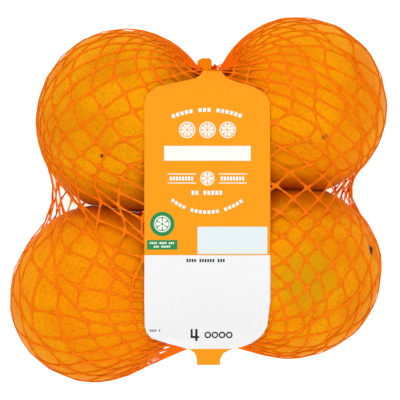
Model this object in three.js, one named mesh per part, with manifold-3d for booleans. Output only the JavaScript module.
// A net of four large oranges, lying on its back with the film label up.
// Units are millimetres. X runs across the pack, Y along it towards its upper
// bunch, and Z up from the table. The origin is under the middle of the pack.

import * as THREE from 'three';
import { mergeVertices } from 'three/addons/utils/BufferGeometryUtils.js';
import Module from 'manifold-3d';

// The oranges: the middle of each one in plan, its half sizes along its own X, Y and Z,
// and how many degrees it is turned about Z
const ORANGES = {
  topLeft: { middle: [-35.3, 37.8], half: [42.5, 43.8, 41.5], turn: 0 },
  topRight: { middle: [48.4, 43.4], half: [41.4, 43.7, 42.0], turn: 20 },
  lowLeft: { middle: [-48.2, -45.0], half: [43.3, 41.0, 41.6], turn: 45 },
  lowRight: { middle: [44.2, -36.5], half: [43.4, 39.3, 40.4], turn: 16 },
};
const PRESSED_FLAT = 1.2; // how far the net under each orange is flattened by the table

// The net: a tube of diamonds, drawn together at its two ends
const DIAMONDS_AROUND = 28;
const ROWS = 32; // rows of knots from one bunch to the other
const KNOT_HEIGHT = 0.9; // knots stand this far out from the peel
const CELL_SAG = 0.9; // a cell's middle lies this far in, or on the peel
const SMALL_SAG = 0.2; // but no further than this part of its width
const STRAND = 9; // strands longer than this between two knots pull much harder
const KNOT_STEP = 0.5; // how far a knot moves in a round towards its place between the others
const ROUNDS = 1500;
const HOOP_SHARE = 0.4; // the part of a knot's pull that comes from beside it: it draws in the waist
const HOOP_TAPER = 9; // that part fades out over this many rows towards each bunch
const BUNCHES = {
  upper: { neck: [6.5, 57.5, 53], towards: [-0.33, 0.9, 0.28], tail: 9 },
  lower: { neck: [4.4, -67.5, 56], towards: [0, -0.94, 0.34], tail: 7 },
};
// Between the oranges the net spans hollows, and its larger cells are sunk into them
const SUNK_CELL = { width: 5.5, room: 2.5 }; // the smallest cell, and the least room under it
const SUNK_DEPTH = 1.35; // a cell is sunk up to this many times its width
const SUNK_SHARE = 0.4; // and up to this part of the way to the net's far side
const SUNK_FLATNESS = 0.945; // cells at a sharper fold of the net than this aren't sunk
const SUNK_INSET = 0.46; // the floor's corners lie this part of the way to its middle
const NECK_RADIUS = 2.5;
const TAIL_RADIUS = 3.6; // the loose strand ends spread to this
const TAIL_RINGS = 4;

// The label: a film that lies over the net from one bunch to the other
const FILM = 0.4;
const FILM_CLEARANCE = 0.5;
const FILM_SIDE = 36; // all of the net that the film can touch lies higher than this
const LABEL_COLUMNS = 14;
const LABEL_ROWS = 40;
const CLOSEST_ROWS = 1.5;
const LENGTHWISE_PULL = 0.8; // the film is drawn tight from bunch to bunch, and hardly across
const FILM_ROUNDS = 400;
const LABEL_EDGES = [ // y, left edge x, right edge x, from the lower tail to the upper one
  [-79.0, -1.0, 10.1],
  [-76.0, -1.1, 10.2],
  [-73.4, -1.9, 11.6],
  [-71.8, -3.8, 14.4],
  [-70.3, -8.2, 20.0],
  [-68.6, -14.4, 24.6],
  [-66.0, -22.4, 28.4],
  [-63.4, -24.8, 30.8],
  [-60.0, -25.8, 32.4],
  [-48.0, -25.9, 33.8],
  [0.0, -25.9, 33.8],
  [46.4, -25.9, 33.6],
  [50.0, -24.6, 31.4],
  [53.4, -20.0, 26.0],
  [55.6, -10.0, 18.2],
  [57.4, -1.9, 13.6],
  [59.0, 0.8, 12.0],
  [60.8, 1.7, 10.4],
  [61.8, 1.9, 5.6],
  [63.2, 0.2, 5.9],
  [64.8, -0.9, 6.2],
  [66.2, -0.6, 6.0],
  [67.4, 1.4, 5.2],
];

const wasm = await Module();
wasm.setup();

// Geometry from loose triangles, each a list of three points
function geometryOf(triangles) {
  const geometry = new THREE.BufferGeometry();
  const numbers = triangles.flat().flatMap((point) => [point.x, point.y, point.z]);
  geometry.setAttribute('position', new THREE.Float32BufferAttribute(numbers, 3));
  return geometry;
}

// Geometry as a solid with merged corners
function solidOf(geometry) {
  const bare = geometry.clone();
  bare.deleteAttribute('normal');
  bare.deleteAttribute('uv');
  const merged = mergeVertices(bare, 1e-4);
  return new wasm.Manifold(new wasm.Mesh({
    numProp: 3,
    vertProperties: merged.attributes.position.array,
    triVerts: Uint32Array.from(merged.index.array),
  }));
}

// A solid back as flat-shaded geometry
function geometryFrom(solid) {
  const { vertProperties, triVerts } = solid.getMesh();
  const geometry = new THREE.BufferGeometry();
  geometry.setAttribute('position', new THREE.Float32BufferAttribute(vertProperties, 3));
  geometry.setIndex(new THREE.Uint32BufferAttribute(triVerts, 1));
  const flat = geometry.toNonIndexed();
  flat.computeVertexNormals();
  return flat;
}

// The part of a shape that is above the table
function aboveTable(geometry) {
  const table = new THREE.BoxGeometry(400, 400, 40);
  table.translate(0, 0, -20);
  return geometryFrom(solidOf(geometry).subtract(solidOf(table)));
}

// Six times the volume inside some triangles: below zero where they face inwards
function signedVolume(triangles) {
  return triangles.reduce((sum, [a, b, c]) => sum + a.dot(b.clone().cross(c)), 0);
}

function facingOut(triangles) {
  return signedVolume(triangles) > 0 ? triangles : triangles.map(([a, b, c]) => [a, c, b]);
}

const UP = new THREE.Vector3(0, 0, 1);

// Each orange's centre stands so low that the table presses the net under it flat
const fruit = Object.values(ORANGES).map(({ middle, half, turn }) => ({
  centre: new THREE.Vector3(middle[0], middle[1], half[2] + KNOT_HEIGHT - PRESSED_FLAT),
  half: new THREE.Vector3(...half),
  turn: THREE.MathUtils.degToRad(turn),
}));

// Moves a point that is less than a height from an orange out to that height
function pushOut(point, height) {
  for (const { centre, half, turn } of fruit) {
    const reach = half.clone().addScalar(height);
    const offset = point.clone().sub(centre);
    const share = offset.clone().applyAxisAngle(UP, -turn).divide(reach).length();
    if (share < 1) point.copy(centre).addScaledVector(offset, 1 / share);
  }
}

// A ring of points about a bunch, the first one on its +X side
function bunchRing({ neck, towards }, along, radius) {
  const axis = new THREE.Vector3(...towards).normalize();
  const side = new THREE.Vector3(1, 0, 0).addScaledVector(axis, -axis.x).normalize();
  const front = side.clone().cross(axis);
  if (front.z < 0) front.negate();
  const centre = new THREE.Vector3(...neck).addScaledVector(axis, along);
  return Array.from({ length: DIAMONDS_AROUND }, (_, place) => {
    const angle = (place / DIAMONDS_AROUND) * 2 * Math.PI;
    return centre.clone()
      .addScaledVector(side, radius * Math.cos(angle))
      .addScaledVector(front, radius * Math.sin(angle));
  });
}

// The knots start on a wide bag about all the oranges; odd rows lie half a cell further on
function wideBag() {
  const wide = new THREE.Vector3(150, 140, 90); // half sizes, far outside the oranges
  return Array.from({ length: ROWS + 1 }, (_, row) => {
    if (row === 0) return bunchRing(BUNCHES.upper, 0, NECK_RADIUS);
    if (row === ROWS) return bunchRing(BUNCHES.lower, 0, NECK_RADIUS);
    const down = (row / ROWS) * Math.PI;
    return Array.from({ length: DIAMONDS_AROUND }, (_, place) => {
      const angle = ((place + (row % 2) / 2) / DIAMONDS_AROUND) * 2 * Math.PI;
      return new THREE.Vector3(
        wide.x * Math.sin(down) * Math.cos(angle),
        wide.y * Math.cos(down),
        wide.z * Math.sin(down) * Math.sin(angle) + fruit[0].centre.z,
      );
    });
  });
}

// The two knots that a knot is tied to in the row above it or below it
function tiedTo(rows, row, place, step) {
  const first = place + (row % 2 ? 0 : -1);
  const next = rows[row + step];
  return [next.at(first), next[(first + 1) % DIAMONDS_AROUND]];
}

// The net drawn tight: every knot moves between those about it and stays outside the fruit
function drawnTight(rows) {
  for (let round = 0; round < ROUNDS; round += 1) {
    for (let row = 1; row < ROWS; row += 1) {
      const hoop = HOOP_SHARE * Math.min(1, row / HOOP_TAPER, (ROWS - row) / HOOP_TAPER);
      rows[row].forEach((knot, place) => {
        const ties = [...tiedTo(rows, row, place, -1), ...tiedTo(rows, row, place, 1)];
        const pulls = ties.map((tie) => 1 + (knot.distanceTo(tie) / STRAND) ** 3);
        const whole = pulls.reduce((sum, pull) => sum + pull, 0);
        const between = new THREE.Vector3();
        ties.forEach((tie, index) => between.addScaledVector(tie, pulls[index] / whole));
        const beside = rows[row].at(place - 1).clone();
        beside.lerp(rows[row][(place + 1) % DIAMONDS_AROUND], 0.5);
        knot.lerp(between.lerp(beside, hoop), KNOT_STEP);
        pushOut(knot, KNOT_HEIGHT);
      });
    }
  }
  return rows;
}

function middleOf(points) {
  const middle = new THREE.Vector3();
  points.forEach((point) => middle.addScaledVector(point, 1 / points.length));
  return middle;
}

function cellWidth([above, left, below, right]) {
  return Math.min(above.distanceTo(below), left.distanceTo(right));
}

// The middle of a cell: on the peel where an orange fills it, else a little inside its knots
function cellMiddle(corners, inwards) {
  const middle = middleOf(corners);
  if (middle.z < PRESSED_FLAT / 2) return middle; // the table presses this cell flat
  middle.addScaledVector(inwards, Math.min(CELL_SAG, SMALL_SAG * cellWidth(corners)));
  pushOut(middle, 0);
  return middle;
}

// How far a point can move in a direction before it meets an orange
function roomToFruit(point, direction) {
  return Math.min(...fruit.map(({ centre, half, turn }) => {
    const from = point.clone().sub(centre).applyAxisAngle(UP, -turn).divide(half);
    const way = direction.clone().applyAxisAngle(UP, -turn).divide(half);
    const ahead = -from.dot(way) / way.lengthSq();
    const missedBy = from.lengthSq() - 1 - ahead * ahead * way.lengthSq();
    if (missedBy > 0 || ahead < 0) return Infinity;
    return Math.max(0, ahead - Math.sqrt(-missedBy / way.lengthSq()));
  }));
}

// Finds how far a point of the net can move inwards before it meets the net's far side
function roomFinder(skin) {
  const ray = new THREE.Raycaster();
  ray.near = 1; // past the net at the point itself
  return (point, direction) => {
    ray.set(point, direction);
    const [hit] = ray.intersectObject(skin);
    return hit ? hit.distance : Infinity;
  };
}

// A cell that spans a hollow: walls from its strands down to a smaller floor, or null
function sunkCell(corners, inwards, roomToFarSide) {
  const width = cellWidth(corners);
  const flatness = Math.min(...corners.map((corner) => corner.inwards.dot(inwards)));
  if (width < SUNK_CELL.width || flatness < SUNK_FLATNESS) return null;
  const middle = middleOf(corners);
  const paths = [{ from: middle, way: inwards }, ...corners.map((corner) => ({
    from: corner.clone().lerp(middle, SUNK_INSET),
    way: corner.inwards.clone().lerp(inwards, SUNK_INSET).normalize(),
  }))];
  const roomToSkin = Math.min(...paths.map(({ from, way }) => roomToFarSide(from, way)));
  const limit = Math.min(SUNK_DEPTH * width, SUNK_SHARE * roomToSkin);
  if (Math.min(limit, roomToFruit(middle, inwards)) < SUNK_CELL.room) return null;
  const [low, ...floor] = paths.map(({ from, way }) => (
    from.clone().addScaledVector(way, Math.min(limit, roomToFruit(from, way)))
  ));
  return corners.flatMap((from, index) => {
    const next = (index + 1) % corners.length;
    return [
      [from, corners[next], floor[next]],
      [from, floor[next], floor[index]],
      [floor[index], floor[next], low],
    ];
  });
}

function cellInwards([above, left, below, right]) {
  return below.clone().sub(above).cross(right.clone().sub(left)).normalize();
}

// Gives each knot the way inwards there, the mean of the cells about it
function findKnotInwards(cells) {
  const knots = new Set(cells.flat());
  knots.forEach((knot) => { knot.inwards = new THREE.Vector3(); });
  cells.forEach((corners) => {
    const inwards = cellInwards(corners);
    corners.forEach((corner) => corner.inwards.add(inwards));
  });
  knots.forEach((knot) => knot.inwards.normalize());
}

// Four facets from a cell's middle to its sides, or a sunk cell
function cellFacets(corners, roomToFarSide) {
  const inwards = cellInwards(corners);
  const sunk = sunkCell(corners, inwards, roomToFarSide);
  if (sunk) return sunk;
  const middle = cellMiddle(corners, inwards);
  return corners.map((from, index) => [from, corners[(index + 1) % corners.length], middle]);
}

// The four knots of each cell
function netCells(rows) {
  const cells = [];
  for (let row = 1; row < ROWS; row += 1) {
    for (let place = 0; place < DIAMONDS_AROUND; place += 1) {
      const next = (place + 1) % DIAMONDS_AROUND;
      const level = row % 2 ? next : place;
      cells.push([rows[row - 1][level], rows[row][place], rows[row + 1][level], rows[row][next]]);
    }
  }
  return cells;
}

// A bunch: half cells at the neck, then the strand ends in folds, and a closed end
function bunchEnd(bunch, neckRow, nextRow, flip) {
  const triangles = [];
  const rings = [neckRow];
  for (let ring = 1; ring <= TAIL_RINGS; ring += 1) {
    const share = ring / TAIL_RINGS;
    const radius = NECK_RADIUS + (TAIL_RADIUS - NECK_RADIUS) * Math.sqrt(share);
    rings.push(bunchRing(bunch, bunch.tail * share, radius));
  }
  const last = rings[TAIL_RINGS];
  const middle = middleOf(last);
  for (let place = 0; place < DIAMONDS_AROUND; place += 1) {
    const next = (place + 1) % DIAMONDS_AROUND;
    triangles.push([neckRow[place], nextRow[place], neckRow[next]]);
    for (let ring = 0; ring < TAIL_RINGS; ring += 1) {
      const [low, high] = [rings[ring], rings[ring + 1]];
      triangles.push([low[next], high[next], low[place]], [low[place], high[next], high[place]]);
    }
    triangles.push([last[next], middle, last[place]]);
  }
  return flip ? triangles.map(([a, b, c]) => [a, c, b]) : triangles;
}

function bunchEnds(rows) {
  return [
    ...bunchEnd(BUNCHES.upper, rows[0], rows[1], false),
    ...bunchEnd(BUNCHES.lower, rows[ROWS], rows[ROWS - 1], true),
  ];
}

// A plain skin from knot to knot, to measure from
function netSkin(rows) {
  const facets = netCells(rows).flatMap(([above, left, below, right]) => (
    [[above, left, right], [left, below, right]]
  ));
  const material = new THREE.MeshBasicMaterial({ side: THREE.DoubleSide });
  return new THREE.Mesh(geometryOf([...facets, ...bunchEnds(rows)]), material);
}

function netTriangles(rows, skin) {
  const roomToFarSide = roomFinder(skin);
  const cells = netCells(rows);
  findKnotInwards(cells);
  const facets = cells.flatMap((corners) => cellFacets(corners, roomToFarSide));
  return facingOut([...facets, ...bunchEnds(rows)]);
}

// The label's left and right edge at a height y
function labelEdges(y) {
  const above = LABEL_EDGES.findIndex(([level]) => level >= y);
  const [low, high] = [LABEL_EDGES[Math.max(above - 1, 0)], LABEL_EDGES[above]];
  const share = high === low ? 0 : (y - low[0]) / (high[0] - low[0]);
  return [1, 2].map((side) => low[side] + (high[side] - low[side]) * share);
}

// The heights y of the label's rows: all the corners of its outline, and even steps between
function labelLevels() {
  const levels = LABEL_EDGES.map(([y]) => y);
  const [lowest, highest] = [levels[0], levels.at(-1)];
  for (let row = 1; row < LABEL_ROWS; row += 1) {
    const y = lowest + ((highest - lowest) * row) / LABEL_ROWS;
    if (levels.every((level) => Math.abs(level - y) > CLOSEST_ROWS)) levels.push(y);
  }
  return levels.sort((a, b) => a - b);
}

// The facets of some geometry that are wholly above a height
function facetsAbove(geometry, height) {
  const corners = geometry.attributes.position;
  const kept = new THREE.BufferGeometry();
  const numbers = [];
  for (let first = 0; first < corners.count; first += 3) {
    if ([0, 1, 2].every((corner) => corners.getZ(first + corner) > height)) {
      numbers.push(...corners.array.slice(first * 3, first * 3 + 9));
    }
  }
  kept.setAttribute('position', new THREE.Float32BufferAttribute(numbers, 3));
  return kept;
}

// Finds the height of the net's upper side at a place, or -Infinity beside it
function heightFinder(skin) {
  const upper = facetsAbove(skin.geometry, FILM_SIDE);
  const mesh = new THREE.Mesh(upper, skin.material);
  const ray = new THREE.Raycaster();
  const down = new THREE.Vector3(0, 0, -1);
  return (x, y) => {
    ray.set(new THREE.Vector3(x, y, 200), down);
    const [hit] = ray.intersectObject(mesh);
    return hit ? hit.point.z : -Infinity;
  };
}

// The lowest a point of the film may lie, so that the facets about it clear the net too
function filmFloor(heightAt, x, y, stepX, stepY) {
  const heights = [-1, -0.5, 0, 0.5, 1].flatMap((right) => (
    [-1, -0.5, 0, 0.5, 1].map((up) => heightAt(x + right * stepX, y + up * stepY))
  ));
  return Math.max(...heights) + FILM_CLEARANCE;
}

// The film drawn tight over the net: rows of points at its under side
function labelPoints(skin) {
  const heightAt = heightFinder(skin);
  const levels = labelLevels();
  const grid = levels.map((y, row) => {
    const [left, right] = labelEdges(y);
    const stepX = (right - left) / LABEL_COLUMNS;
    const stepY = Math.max(y - (levels[row - 1] ?? y), (levels[row + 1] ?? y) - y);
    return Array.from({ length: LABEL_COLUMNS + 1 }, (_, column) => {
      const x = left + stepX * column;
      const low = filmFloor(heightAt, x, y, stepX, stepY);
      return { x, y, z: Math.max(low, BUNCHES.lower.neck[2]), low };
    });
  });
  [grid[0], grid.at(-1)].forEach((points) => { // the two cut ends are straight
    const highest = Math.max(...points.map((point) => point.z));
    points.forEach((point) => { point.z = highest; });
  });
  for (let round = 0; round < FILM_ROUNDS; round += 1) {
    grid.forEach((points, row) => points.forEach((point, column) => {
      const beside = [points[column - 1], points[column + 1]].filter(Boolean);
      const along = [grid[row - 1]?.[column], grid[row + 1]?.[column]].filter(Boolean);
      if (along.length < 2) return;
      const share = (along[0].y - point.y) / (along[0].y - along[1].y);
      const lengthwise = along[0].z + (along[1].z - along[0].z) * share;
      const crosswise = beside.reduce((sum, other) => sum + other.z, 0) / beside.length;
      const tight = LENGTHWISE_PULL * lengthwise + (1 - LENGTHWISE_PULL) * crosswise;
      point.z = Math.max(point.low, tight);
    }));
  }
  return grid;
}

// A closed sheet: an upper and a lower face of quads with walls around them
function sheet(grid, thickness) {
  const corner = ({ x, y, z }, rise) => new THREE.Vector3(x, y, z + rise);
  const triangles = [];
  const quad = (a, b, c, d) => triangles.push([a, b, c], [a, c, d]);
  const wall = (from, to) => quad(
    corner(from, 0), corner(to, 0), corner(to, thickness), corner(from, thickness),
  );
  for (let row = 0; row + 1 < grid.length; row += 1) {
    const [low, high] = [grid[row], grid[row + 1]];
    for (let column = 0; column < LABEL_COLUMNS; column += 1) {
      const around = [low[column], low[column + 1], high[column + 1], high[column]];
      const [a, b, c, d] = around.map((point) => corner(point, 0));
      quad(...around.map((point) => corner(point, thickness)));
      quad(a, d, c, b); // cut along the same diagonal as the face above it
    }
    wall(low[LABEL_COLUMNS], high[LABEL_COLUMNS]);
    wall(high[0], low[0]);
  }
  for (let column = 0; column < LABEL_COLUMNS; column += 1) {
    wall(grid[0][column], grid[0][column + 1]);
    wall(grid.at(-1)[column + 1], grid.at(-1)[column]);
  }
  return geometryOf(triangles);
}

function namedMesh(name, geometry, colour, roughness) {
  const material = new THREE.MeshStandardMaterial({ color: colour, roughness, metalness: 0 });
  const mesh = new THREE.Mesh(geometry, material);
  mesh.name = name;
  mesh.geometry.computeVertexNormals();
  return mesh;
}

const knots = drawnTight(wideBag());
const skin = netSkin(knots);
const net = aboveTable(geometryOf(netTriangles(knots, skin)));
const label = sheet(labelPoints(skin), FILM);

const pack = new THREE.Group();
pack.add(namedMesh('net_of_oranges', net, 0xf58a10, 0.55));
pack.add(namedMesh('label', label, 0xfea01f, 0.4));

export default pack;
